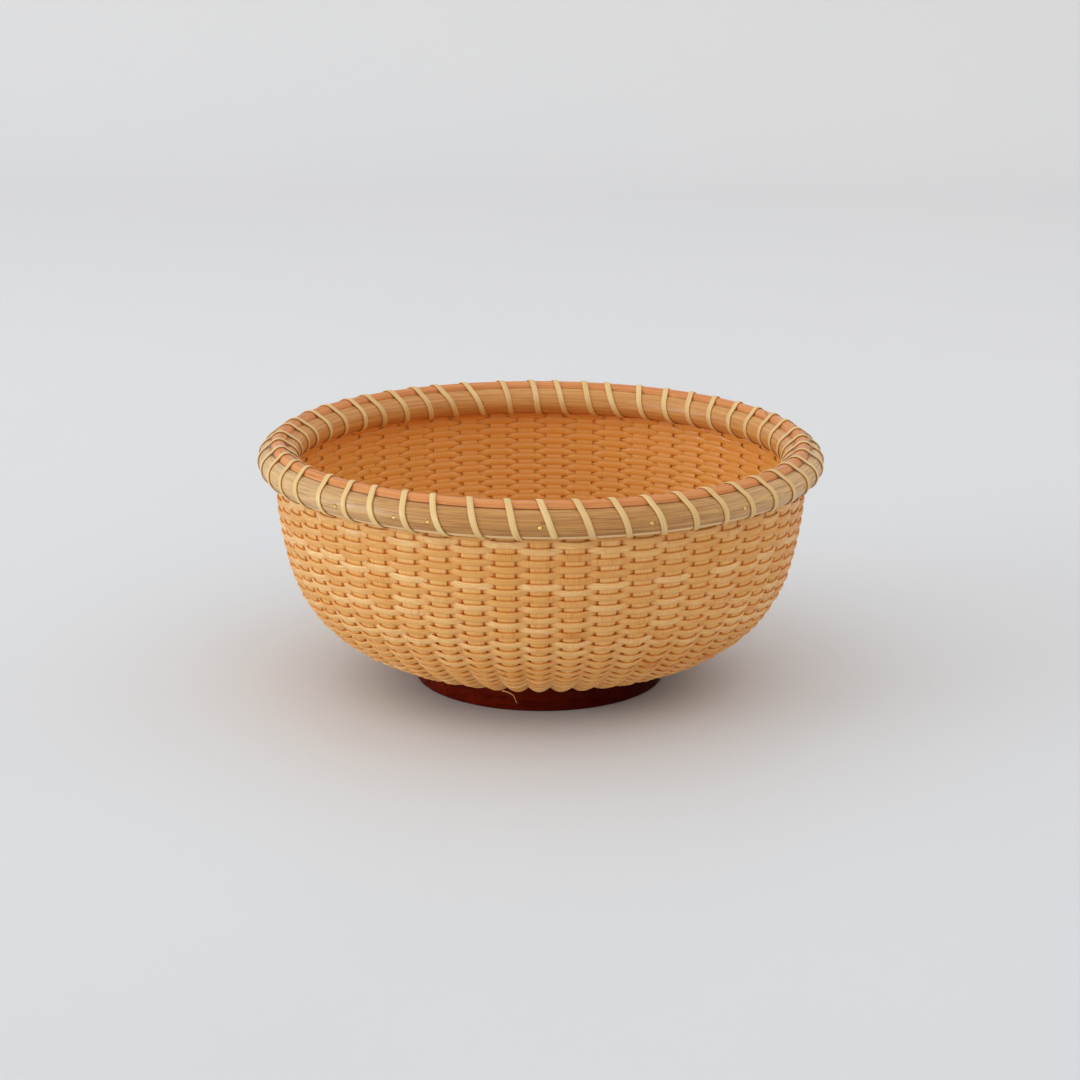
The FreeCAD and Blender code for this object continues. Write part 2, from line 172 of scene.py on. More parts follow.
class StripBundle:
    """Lengths of strip gathered into one mesh, with what its finish reads kept at each point."""

    def __init__(self, name: str, shave: Shave) -> None:
        """Starts an empty bundle.

        Args:
            name: The piece's name.
            shave: The section of its strips.
        """
        self.name = name
        self.ring = np.array(shave.value)
        self.points: list[np.ndarray] = []
        self.loops: list[np.ndarray] = []
        self.totals: list[np.ndarray] = []
        self.marks: dict[str, list[np.ndarray]] = {key: [] for key in MARKS}
        self.count = 0

    def add(self, run: StripRun) -> None:
        """Adds one closed length of strip to the mesh.

        Args:
            run: The strip's middle line, sizes and tones.
        """
        steps, sides = len(run.middle), len(self.ring)

        def column(values: PerStep) -> np.ndarray:
            """The values of all steps, one row each."""
            return np.broadcast_to(values, steps)[:, None]

        way = unit(np.gradient(run.middle, axis=0))
        out = unit(run.out - way * np.sum(run.out * way, axis=1, keepdims=True))
        flat = np.cross(out, way)
        lean = column(run.lean)
        across, out = flat * np.cos(lean) + out * np.sin(lean), out * np.cos(lean) - flat * np.sin(lean)
        wide = column(run.half_width) * self.ring[:, 0]
        swell = np.maximum(self.ring[:, 1], 0.0) * (1.0 - self.ring[:, 0] ** 2)
        deep = column(run.half_thick) * self.ring[:, 1] + column(run.crown) * swell
        points = run.middle[:, None] + across[:, None] * wide[..., None] + out[:, None] * deep[..., None]
        index = np.arange(steps * sides).reshape(steps, sides) + self.count
        turned = np.roll(index, -1, axis=1)
        quads = np.stack([index[:-1], turned[:-1], turned[1:], index[1:]], axis=-1)
        self.points.append(points.reshape(-1, 3))
        self.loops += [quads.ravel(), index[0, ::-1], index[-1]]
        self.totals += [np.full((steps - 1) * sides, 4), np.array([sides, sides])]
        along = travelled(run.middle) + FIBRE_SHIFT * self.count
        self.marks["across"].append(wide.ravel())
        for key, values in (
                ("along", along), ("tone", run.tone), ("bare", run.bare), ("crazed", run.crazed)):
            self.marks[key].append(np.repeat(np.broadcast_to(values, steps), sides))
        for key, values in (("edge", self.ring[:, 0]), ("inner", smooth(-self.ring[:, 1], -0.2, 0.9))):
            self.marks[key].append(np.tile(values, steps))
        self.count += steps * sides

    def build(self, material: Material, slot: str) -> Piece:
        """Makes the mesh, dresses it and sets it on the basket.

        Args:
            material: The strip's finish.
            slot: Not used.

        Returns:
            The new piece.
        """
        points, loops, totals = (np.concatenate(part) for part in (self.points, self.loops, self.totals))
        mesh = bpy.data.meshes.new(self.name)
        mesh.vertices.add(len(points))
        mesh.vertices.foreach_set("co", points.ravel())
        mesh.loops.add(len(loops))
        mesh.loops.foreach_set("vertex_index", loops)
        mesh.polygons.add(len(totals))
        mesh.polygons.foreach_set("loop_start", np.concatenate(([0], np.cumsum(totals)[:-1])))
        mesh.polygons.foreach_set("use_smooth", np.ones(len(totals), bool))
        mesh.update(calc_edges=True)
        for key, values in self.marks.items():
            layer = mesh.attributes.new(key, "FLOAT", "POINT")
            layer.data.foreach_set("value", np.concatenate(values).astype(np.float32))
        mesh.materials.append(material)
        piece = bpy.data.objects.new(self.name, mesh)
        bpy.context.scene.collection.objects.link(piece)
        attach(piece, BODY)
        LOG.info("%s: %d points, %d faces", self.name, len(points), len(totals))
        return piece


class Nodes:
    """Adds and links the nodes of one shader tree."""

    def __init__(self, tree: Tree) -> None:
        """Takes the tree to work in."""
        self.tree = tree

    def add(self, kind: str, **settings: object) -> Node:
        """Adds a node.

        Args:
            kind: Blender's name for the node.
            **settings: The node's own properties.

        Returns:
            The new node.
        """
        node = self.tree.nodes.new(kind)
        for key, value in settings.items():
            setattr(node, key, value)
        return node

    def feed(self, socket: Socket, value: object) -> None:
        """Links a socket to another, or sets it to a plain value.

        Args:
            socket: The socket to feed.
            value: Another node's socket, or the value.
        """
        if isinstance(value, Socket):
            self.tree.links.new(value, socket)
        else:
            socket.default_value = value

    def fill(self, node: Node, *values: object) -> Node:
        """Feeds a node's inputs in order.

        Args:
            node: The node.
            *values: Sockets or plain values, for its first inputs.

        Returns:
            The node.
        """
        for socket, value in zip(node.inputs, values):
            self.feed(socket, value)
        return node

    def fill_named(self, node: Node, **values: object) -> Node:
        """Feeds a node's inputs by name.

        Args:
            node: The node.
            **values: Sockets or plain values, by the input's name with _ for a space.

        Returns:
            The node.
        """
        for key, value in values.items():
            self.feed(node.inputs[key.replace("_", " ")], value)
        return node

    def math(self, operation: str, *values: object, clamp: bool = False) -> Socket:
        """A sum on one or more values.

        Args:
            operation: Blender's name for the sum.
            *values: Sockets or numbers.
            clamp: Whether to keep the answer from 0 to 1.

        Returns:
            The answer's socket.
        """
        return self.fill(self.add("ShaderNodeMath", operation=operation, use_clamp=clamp), *values).outputs[0]

    def times(self, first: object, second: object) -> Socket:
        """One value times another."""
        return self.math("MULTIPLY", first, second)

    def step(self, value: Socket, low: float, high: float, start: float = 0.0, end: float = 1.0) -> Socket:
        """A smooth step from start, where value is low, to end, where it is high."""
        node = self.add("ShaderNodeMapRange", interpolation_type="SMOOTHSTEP")
        return self.fill(node, value, low, high, start, end).outputs[0]

    def mix(self, share: object, first: object, second: object) -> Socket:
        """A blend of two colours.

        Args:
            share: How much of the second.
            first: A colour or its socket.
            second: Another colour or its socket.

        Returns:
            The blended colour's socket.
        """
        node = self.add("ShaderNodeMix", data_type="RGBA")
        for number, value in ((0, share), (6, first), (7, second)):
            self.feed(node.inputs[number], value)
        return node.outputs[2]

    def vector(self, x: object, y: object, z: object) -> Socket:
        """A vector from three values."""
        return self.fill(self.add("ShaderNodeCombineXYZ"), x, y, z).outputs[0]

    def split(self, vector: Socket) -> tuple[Socket, Socket, Socket]:
        """The three values of a vector."""
        return tuple(self.fill(self.add("ShaderNodeSeparateXYZ"), vector).outputs)

    def noise(self, vector: Socket, scale: object, detail: float = 2.0, twist: float = 0.0) -> Socket:
        """Soft noise at a vector.

        Args:
            vector: Where to read it.
            scale: Bumps to each unit of the vector.
            detail: How many finer layers it has.
            twist: How far it is pulled about.

        Returns:
            The noise, about 0.5 on the whole.
        """
        node = self.add("ShaderNodeTexNoise")
        self.fill_named(node, Vector=vector, Scale=scale, Detail=detail, Distortion=twist)
        return node.outputs["Fac"]

    def mark(self, name: str) -> Socket:
        """A value that the mesh keeps at each point."""
        return self.add("ShaderNodeAttribute", attribute_name=name).outputs["Fac"]

    def place(self) -> Socket:
        """Where a point lies, in its piece's own frame."""
        return self.add("ShaderNodeTexCoord").outputs["Object"]

    def group(self, tree: Tree, **values: object) -> Node:
        """Places a node group and feeds its inputs by name."""
        return self.fill_named(self.add("ShaderNodeGroup", node_tree=tree), **values)

    def bump(self, height: Socket, distance: float, strength: float) -> Socket:
        """A normal that follows a height.

        Args:
            height: The height, from 0 to 1.
            distance: What a height of 1 stands for, in metres.
            strength: How much of it shows.

        Returns:
            The normal's socket.
        """
        node = self.add("ShaderNodeBump")
        return self.fill_named(node, Height=height, Distance=distance, Strength=strength).outputs["Normal"]


class Effects:
    """The node groups that more than one finish uses, each built once."""

    def __init__(self) -> None:
        """Builds every group."""
        self.fibre = self._fibre()
        self.rim = self._rim()
        self.grain = self._grain()
        self.handled = self._handled()

    @staticmethod
    def _new(name: str, inputs: dict[str, float], outputs: tuple[str, ...]) -> tuple[Nodes, dict, dict]:
        """Starts a group.

        Args:
            name: The group's name.
            inputs: Its inputs and what each starts at; "Place" is a vector.
            outputs: Its outputs, all plain values.

        Returns:
            The group's nodes, its inputs' sockets and its outputs' sockets.
        """
        tree = bpy.data.node_groups.new(name, "ShaderNodeTree")
        for key, value in inputs.items():
            kind = "NodeSocketVector" if key == "Place" else "NodeSocketFloat"
            socket = tree.interface.new_socket(name=key, in_out="INPUT", socket_type=kind)
            if key != "Place":
                socket.default_value = value
        for key in outputs:
            tree.interface.new_socket(name=key, in_out="OUTPUT", socket_type="NodeSocketFloat")
        nodes = Nodes(tree)
        into, out = nodes.add("NodeGroupInput"), nodes.add("NodeGroupOutput")
        return nodes, {key: into.outputs[key] for key in inputs}, {key: out.inputs[key] for key in outputs}

    def _fibre(self) -> Tree:
        """Fibres along a strip of cane, slow mottling and fine cracks across its skin.

        Returns:
            The group.
        """
        nodes, into, out = self._new(
            "CaneFibre", {"Along": 0.0, "Across": 0.0, "Tone": 0.5, "Craze": 0.3},
            ("Fibre", "Mottle", "Cracks", "Height"))
        seed = nodes.times(into["Tone"], 23.0)

        def streaks(along: float, across: float, detail: float, twist: float = 0.0) -> Socket:
            """Noise with so many bumps to a metre along and across the strip."""
            spot = nodes.vector(nodes.times(into["Along"], along), nodes.times(into["Across"], across), seed)
            return nodes.noise(spot, 1.0, detail, twist)

        fibre = streaks(130.0, 3400.0, 2.0)
        mottle = streaks(210.0, 420.0, 2.0, 0.4)
        lines = nodes.step(streaks(2700.0, 200.0, 1.0, 0.2), 0.5, 0.66)
        where = nodes.step(mottle, 0.36, 0.56, 0.35, 1.0)
        cracks = nodes.math("MULTIPLY", nodes.times(lines, where), into["Craze"], clamp=True)
        nodes.feed(out["Fibre"], nodes.step(fibre, 0.3, 0.7))
        nodes.feed(out["Mottle"], nodes.step(mottle, 0.3, 0.7))
        nodes.feed(out["Cracks"], cracks)
        nodes.feed(out["Height"], nodes.math("SUBTRACT", nodes.times(fibre, 0.6), nodes.times(cracks, 0.5)))
        return nodes.tree

    def _rim(self) -> Tree:
        """How far round the rim, out from the axis and up a point lies.

        Returns:
            The group.
        """
        nodes, into, out = self._new("RoundTheRim", {"Place": 0.0, "Radius": 0.08}, ("Along", "Out", "Up"))
        x, y, z = nodes.split(into["Place"])
        nodes.feed(out["Along"], nodes.times(nodes.math("ARCTAN2", x, y), into["Radius"]))
        nodes.feed(out["Out"], nodes.math("SQRT", nodes.math("ADD", nodes.times(x, x), nodes.times(y, y))))
        nodes.feed(out["Up"], z)
        return nodes.tree

    def _grain(self) -> Tree:
        """Wood or reed grain: long streaks, finer dark vessels and the height of both.

        Returns:
            The group.
        """
        nodes, into, out = self._new(
            "LongGrain", {"Along": 0.0, "Side": 0.0, "Deep": 0.0, "Long": 30.0, "Fine": 1500.0},
            ("Streaks", "Vessels", "Height"))
        far = nodes.times(into["Along"], into["Long"])
        side = nodes.times(into["Side"], into["Fine"])
        deep = nodes.times(into["Deep"], into["Fine"])
        broad = nodes.noise(nodes.vector(far, side, deep), 0.55, 3.0, 0.3)
        thin = nodes.noise(nodes.vector(nodes.times(far, 1.7), side, deep), 2.1, 2.0)
        vessels = nodes.step(thin, 0.5, 0.68)
        nodes.feed(out["Streaks"], nodes.step(broad, 0.3, 0.7))
        nodes.feed(out["Vessels"], vessels)
        nodes.feed(out["Height"], nodes.math("SUBTRACT", broad, nodes.times(vessels, 0.5)))
        return nodes.tree

    def _handled(self) -> Tree:
        """Patches where hands have left a surface a little smoother or duller.

        Returns:
            The group.
        """
        nodes, into, out = self._new("Handling", {"Place": 0.0, "Size": 0.02}, ("Rubbed",))
        patches = nodes.noise(into["Place"], nodes.math("DIVIDE", 1.0, into["Size"]), 3.0)
        nodes.feed(out["Rubbed"], nodes.step(patches, 0.38, 0.64))
        return nodes.tree


def new_material(name: str) -> tuple[Material, Nodes, Node]:
    """Starts a material on one Principled shader.

    Args:
        name: The material's name.

    Returns:
        The material, its nodes and the shader.
    """
    material = bpy.data.materials.new(name)
    material.use_nodes = True
    nodes = Nodes(material.node_tree)
    return material, nodes, material.node_tree.nodes["Principled BSDF"]


@dataclass(frozen=True)
class CaneFinish:
    """Split cane: fine fibres, painted shade where tucked and in crevices, painted bounce light inside, in
    places a crazed skin.

    Attributes:
        name: The material's name.
        pale: The palest strips.
        honey: Most strips.
        amber: The darkest strips, whose skin has crazed.
        fibre_crack_and_tuck_shade: The fibres' and cracks' darker colour, and painted shade where a strip
            dives under another.
        inner: The face that looks into the bowl, in a warmer orange: painted bounce light from inside the
            bowl.
        crevice_shade: Painted shade, a dark line in the crevice along a strip's upper edge.
        crevice_shade_share: How strong that painted shade is.
        crevice_shade_both: How much of the painted shade runs along the other edge too.
        notch_shade: How dark the painted shade is where a strip dives beside a stave.
        fade_low: Height up to which the painted shade lines and notches are faint, near the base.
        fade_high: Height from which they have their full strength.
        patch: Size of the patches that hands have rubbed.
        gloss: The roughness of a rubbed face.
        matt: The roughness of a dull one.
    """

    name: str
    pale: Colour
    honey: Colour
    amber: Colour
    fibre_crack_and_tuck_shade: Colour
    inner: Colour
    crevice_shade: Colour = paint(192, 100, 6)
    crevice_shade_share: float = 0.0
    crevice_shade_both: float = 0.0
    notch_shade: float = 0.0
    fade_low: float = 12.0 * MM
    fade_high: float = 42.0 * MM
    patch: float = 12.0 * MM
    gloss: float = 0.34
    matt: float = 0.52

    def material(self, effects: Effects) -> Material:
        """Builds the finish.

        Args:
            effects: The shared node groups.

        Returns:
            The material.
        """
        material, nodes, shader = new_material(self.name)
        place = nodes.place()
        up = nodes.split(place)[2]
        tone, edge, bare = (nodes.mark(key) for key in ("tone", "edge", "bare"))
        strip = nodes.group(
            effects.fibre, Along=nodes.mark("along"), Across=nodes.mark("across"), Tone=tone,
            Craze=nodes.mark("crazed"))
        colour = nodes.mix(nodes.step(tone, 0.0, 0.6), self.pale, self.honey)
        colour = nodes.mix(nodes.times(strip.outputs["Mottle"], 0.35), colour, self.honey)
        colour = nodes.mix(nodes.step(tone, 0.62, 0.95), colour, self.amber)
        colour = nodes.mix(nodes.times(strip.outputs["Fibre"], 0.36), colour, self.fibre_crack_and_tuck_shade)
        # Painted shade where the strip dives under another.
        colour = nodes.mix(nodes.step(bare, 0.0, 0.6, 0.36, 0.0), colour, self.fibre_crack_and_tuck_shade)
        # Painted shade: a dark line in the crevice along a strip's upper edge, along both edges where that is
        # set, and dark notches where it dives beside a stave.
        upper, lower = nodes.step(edge, 0.78, 1.0), nodes.step(edge, -1.0, -0.78, self.crevice_shade_both, 0.0)
        share = nodes.step(up, self.fade_low, self.fade_high, 0.35 * self.crevice_shade_share, self.crevice_shade_share)
        line = nodes.times(nodes.math("MAXIMUM", upper, lower), share)
        dive = nodes.times(nodes.step(edge, 0.0, 0.8, 1.0, 0.3), nodes.step(bare, 0.05, 0.45, 1.0, 0.0))
        depth = nodes.step(up, self.fade_low, self.fade_high, 0.5 * self.notch_shade, self.notch_shade)
        colour = nodes.mix(nodes.math("MAXIMUM", line, nodes.times(dive, depth)), colour, self.crevice_shade)
        colour = nodes.mix(nodes.times(strip.outputs["Cracks"], 0.6), colour, self.fibre_crack_and_tuck_shade)
        # Painted bounce light: the face inside the bowl in a warmer orange.
        colour = nodes.mix(nodes.times(nodes.mark("inner"), 0.9), colour, self.inner)
        rubbed = nodes.group(effects.handled, Place=place, Size=self.patch).outputs["Rubbed"]
        nodes.fill_named(
            shader, Base_Color=colour, Roughness=nodes.step(rubbed, 0.0, 1.0, self.matt, self.gloss),
            Normal=nodes.bump(strip.outputs["Height"], 0.05 * MM, 0.6), Specular_IOR_Level=0.55)
        return material


@dataclass(frozen=True)
class ReedFinish:
    """Bent reed of the rim: grain round the rim, a darker skin, a pale shaved lower edge, painted side light
    and joint shade.

    Attributes:
        name: The material's name.
        light: Between the grain's streaks.
        dark: In the streaks.
        vein_and_joint_shade: The fine vessels, and the colour of the painted shade in the joint under the
            cap.
        edge: The shaved lower edge, also the colour of the painted side light.
        edge_top: Height where the shaved edge ends.
        joint_shade_r: Radius of the painted shade in the joint beside the cap.
        joint_shade_w: Width of that painted shade.
        painted_side_light: Painted light: how far the reed is painted paler towards +X and -X, where the
            rim's sides catch more light.
        painted_side_light_near: Distance along X where the painted light starts.
        painted_side_light_far: Distance along X where the painted light is strongest.
        ragged: How far the shaved edge strays with the grain.
        patch: Size of the patches that hands have rubbed.
        gloss: The roughness of a rubbed face.
        matt: The roughness of a dull one.
    """

    name: str
    light: Colour
    dark: Colour
    vein_and_joint_shade: Colour
    edge: Colour
    edge_top: float
    joint_shade_r: float = 0.0
    joint_shade_w: float = 0.45 * MM
    painted_side_light: float = 0.0
    painted_side_light_near: float = 25.0 * MM
    painted_side_light_far: float = 80.0 * MM
    ragged: float = 0.25 * MM
    patch: float = 20.0 * MM
    gloss: float = 0.32
    matt: float = 0.5

    def material(self, effects: Effects) -> Material:
        """Builds the finish.

        Args:
            effects: The shared node groups.

        Returns:
            The material.
        """
        material, nodes, shader = new_material(self.name)
        place = nodes.place()
        where = nodes.group(effects.rim, Place=place)
        along, out, up = (where.outputs[key] for key in ("Along", "Out", "Up"))
        grain = nodes.group(effects.grain, Along=along, Side=up, Deep=out, Long=26.0, Fine=2600.0)
        side = nodes.math("ABSOLUTE", nodes.split(place)[0])
        colour = nodes.mix(grain.outputs["Streaks"], self.light, self.dark)
        # Painted light: the reed paler towards +X and -X, where the rim's sides catch more light.
        side_light_mask = nodes.step(side, self.painted_side_light_near, self.painted_side_light_far, 0.0, self.painted_side_light)
        colour = nodes.mix(side_light_mask, colour, self.edge)
        colour = nodes.mix(nodes.times(grain.outputs["Vessels"], 0.7), colour, self.vein_and_joint_shade)
        level = nodes.math("MULTIPLY_ADD", grain.outputs["Streaks"], self.ragged, up)
        shaved = nodes.step(level, self.edge_top, self.edge_top + self.ragged, 1.0, 0.0)
        colour = nodes.mix(shaved, colour, self.edge)
        off_line = nodes.math("ABSOLUTE", nodes.math("SUBTRACT", level, self.edge_top + 0.2 * MM))
        colour = nodes.mix(nodes.step(off_line, 0.05 * MM, 0.2 * MM, 0.7, 0.0), colour, self.vein_and_joint_shade)
        # Painted shade in the joint where the cap sits on the outer hoop.
        joint_shade = nodes.step(out, self.joint_shade_r, self.joint_shade_r + self.joint_shade_w, 0.8, 0.0)
        colour = nodes.mix(joint_shade, colour, self.vein_and_joint_shade)
        rubbed = nodes.group(effects.handled, Place=place, Size=self.patch).outputs["Rubbed"]
        nodes.fill_named(
            shader, Base_Color=colour, Roughness=nodes.step(rubbed, 0.0, 1.0, self.matt, self.gloss),
            Normal=nodes.bump(grain.outputs["Height"], 0.06 * MM, 0.5), Specular_IOR_Level=0.5)
        return material


@dataclass(frozen=True)
class TurnedWoodFinish:
    """Turned wood under varnish: straight grain across the base, dark vessels, a soft shine and painted shade
    towards +X.

    Attributes:
        name: The material's name.
        light: Between the grain's streaks.
        dark: In the streaks.
        pore_and_shade: The fine vessels, and the colour of the painted shade.
        coat: How much varnish lies over the wood.
        painted_shade_right: Painted shade: how far the wood is painted darker towards +X, the side away from
            the lamp.
        painted_shade_from: Place along X where the painted shade starts.
        painted_shade_to: Place along X where it is darkest.
        patch: Size of the patches that hands have rubbed.
        gloss: The roughness of a rubbed face.
        matt: The roughness of a dull one.
    """

    name: str
    light: Colour
    dark: Colour
    pore_and_shade: Colour
    coat: float = 0.03
    painted_shade_right: float = 0.0
    painted_shade_from: float = -30.0 * MM
    painted_shade_to: float = 40.0 * MM
    patch: float = 15.0 * MM
    gloss: float = 0.3
    matt: float = 0.42

    def material(self, effects: Effects) -> Material:
        """Builds the finish.

        Args:
            effects: The shared node groups.

        Returns:
            The material.
        """
        material, nodes, shader = new_material(self.name)
        place = nodes.place()
        x, y, z = nodes.split(place)
        grain = nodes.group(effects.grain, Along=x, Side=y, Deep=z, Long=28.0, Fine=420.0)
        colour = nodes.mix(grain.outputs["Streaks"], self.light, self.dark)
        colour = nodes.mix(nodes.times(grain.outputs["Vessels"], 0.6), colour, self.pore_and_shade)
        # Painted shade: the wood darker towards +X, the side away from the lamp.
        colour = nodes.mix(nodes.step(x, self.painted_shade_from, self.painted_shade_to, 0.0, self.painted_shade_right), colour, self.pore_and_shade)
        rubbed = nodes.group(effects.handled, Place=place, Size=self.patch).outputs["Rubbed"]
        nodes.fill_named(
            shader, Base_Color=colour, Roughness=nodes.step(rubbed, 0.0, 1.0, self.matt, self.gloss),
            Normal=nodes.bump(grain.outputs["Height"], 0.04 * MM, 0.35), Coat_Weight=self.coat,
            Coat_Roughness=0.3, Specular_IOR_Level=0.03)
        return material


@dataclass(frozen=True)
class BrassFinish:
    """Brass pin heads: bright, and browner and duller where patches of tarnish sit.

    Attributes:
        name: The material's name.
        bright: Clean brass.
        tarnish: Old brass.
        patch: Size of the patches of tarnish.
        gloss: The roughness of clean brass.
        matt: The roughness of old brass.
    """

    name: str = "brass_pin_heads"
    bright: Colour = paint(244, 206, 122)
    tarnish: Colour = paint(166, 116, 50)
    patch: float = 1.2 * MM
    gloss: float = 0.18
    matt: float = 0.36

    def material(self, effects: Effects) -> Material:
        """Builds the finish.

        Args:
            effects: The shared node groups.

        Returns:
            The material.
        """
        material, nodes, shader = new_material(self.name)
        old = nodes.group(effects.handled, Place=nodes.place(), Size=self.patch).outputs["Rubbed"]
        nodes.fill_named(
            shader, Base_Color=nodes.mix(nodes.times(old, 0.6), self.bright, self.tarnish),
            Roughness=nodes.step(old, 0.0, 1.0, self.gloss, self.matt), Metallic=1.0)
        return material


@dataclass(frozen=True)
class BowlForm:
    """The wall's section: two tangent arcs from the base's kerf up to the hoops, on the middle of the staves.

    Attributes:
        base_r: Radius where the wall leaves the base.
        wall_r: Radius under the rim.
        kerf_z: Height where the wall leaves the base.
        depth: From there up to the hoops.
        turn: Turn of the upper, flatter arc, in radians.
        hoop_h: Height of the hoops.
        count: Number of staves.
        stave_gap: From one stave to the next under the rim.
    """

    base_r: float = 39.3 * MM
    wall_r: float = 78.9 * MM
    kerf_z: float = 10.572 * MM
    depth: float = 54.1 * MM
    turn: float = math.radians(16.7)
    hoop_h: float = 8.5 * MM
    count: int = 51
    stave_gap: float = 4.32 * MM

    @property
    def pitch(self) -> float:
        """The angle from one stave to the next, in radians."""
        return math.tau / self.count

    @property
    def span(self) -> float:
        """The angle that one stave takes up, in radians."""
        return self.pitch - self.stave_gap / self.wall_r

    @property
    def hoop_z(self) -> float:
        """Height of the underside of the hoops."""
        return self.kerf_z + self.depth

    @property
    def hoop_mid(self) -> float:
        """Height of the middle of the hoops."""
        return self.hoop_z + self.hoop_h / 2

    @property
    def arcs(self) -> tuple[float, float]:
        """Radii of the two arcs, from the wall's reach and depth and the upper arc's turn.

        Returns:
            The lower arc's radius and the upper arc's.
        """
        reach = self.wall_r - self.base_r
        sine, cosine = math.sin(self.turn), math.cos(self.turn)
        solve = cosine + sine - 1.0
        return (reach * sine - self.depth * (1.0 - cosine)) / solve, (
            self.depth * cosine - reach * (1.0 - sine)) / solve

    @property
    def belly_length(self) -> float:
        """Length of the lower arc."""
        return self.arcs[0] * (math.pi / 2 - self.turn)

    @property
    def wall_length(self) -> float:
        """Length of the wall from the base to the hoops."""
        return self.belly_length + self.arcs[1] * self.turn

    def place(
        self, length: np.ndarray, offset: np.ndarray, angle: np.ndarray
    ) -> tuple[np.ndarray, np.ndarray, np.ndarray]:
        """Points on the wall. Below 0 they run on into the kerf, and past the wall's length straight up.

        Args:
            length: Lengths along the wall from the base.
            offset: How far each point lies out from the middle of the staves.
            angle: Angles from the front, in radians.

        Returns:
            The points, the way out of the wall at each, and their radii.
        """
        belly_r, shoulder_r = self.arcs
        on_wall = np.clip(length, 0.0, self.wall_length)
        low = on_wall <= self.belly_length
        slope = np.where(
            low, math.pi / 2 - on_wall / belly_r, self.turn - (on_wall - self.belly_length) / shoulder_r)
        shift = np.where(low, 0.0, belly_r - shoulder_r)
        bend = np.where(low, belly_r, shoulder_r) + offset
        beyond = length - on_wall
        radius = self.base_r + shift * math.cos(self.turn) + bend * np.cos(slope) + beyond * np.sin(slope)
        height = (
            self.kerf_z + belly_r - shift * math.sin(self.turn) - bend * np.sin(slope)
            + beyond * np.cos(slope))
        out = around(np.cos(slope), angle, -np.sin(slope))
        return around(radius, angle, height), out, radius


@dataclass(frozen=True)
class HandWork:
    """How unevenly the cane is split and woven: the spread of each value, or the share that is marked.

    Attributes:
        stray: How far a stave strays round the bowl, in radians.
        tone: The tone that most strands and staves are near.
        tone_spread: How far their tones differ.
        crest_spread: How far the tone differs from crest to crest of a strand.
        crest_range: How much paler and darker than its strand a crest is at most.
        width_spread: How far strands and staves differ in width.
        crest_width: How far the width differs from crest to crest.
        wander: How far a row wanders up and down.
        heave: How far the crests differ in height.
        scorched: Share of the crests that are scorched.
        cracked: Share of the crests whose skin is cracked.
        cracks: How badly those are cracked, from and to.
        sound: The same for the others.
        lengths: The shortest and the longest strand, counted in staves.
        last: The longest last strand, in turns.
    """

    stray: float = math.radians(0.14)
    tone: float = 0.42
    tone_spread: float = 0.12
    crest_spread: float = 0.13
    crest_range: tuple[float, float] = (-0.3, 0.26)
    width_spread: float = 0.02
    crest_width: float = 0.018
    wander: float = 0.035 * MM
    heave: float = 0.05
    scorched: float = 0.012
    cracked: float = 0.28
    cracks: tuple[float, float] = (0.5, 1.0)
    sound: tuple[float, float] = (0.0, 0.25)
    lengths: tuple[int, int] = (55, 100)
    last: float = 2.2


@dataclass
class Crests:
    """What differs from crest to crest of the weaver, counted in staves.

    Attributes:
        tone: How much darker it is than its strand.
        scorched: Whether it is scorched.
        cracked: How badly its skin is cracked.
        wander: How far it lies above its row.
        breadth: Its width, 1 on the whole.
        heave: Its height, 1 on the whole.
    """

    tone: np.ndarray
    scorched: np.ndarray
    cracked: np.ndarray
    wander: np.ndarray
    breadth: np.ndarray
    heave: np.ndarray


def flat_topped(wave: np.ndarray) -> np.ndarray:
    """A cosine with its crests flattened, so that a strand lies along a stave before it dives."""
    return 1.5 * wave - 0.5 * wave ** 3


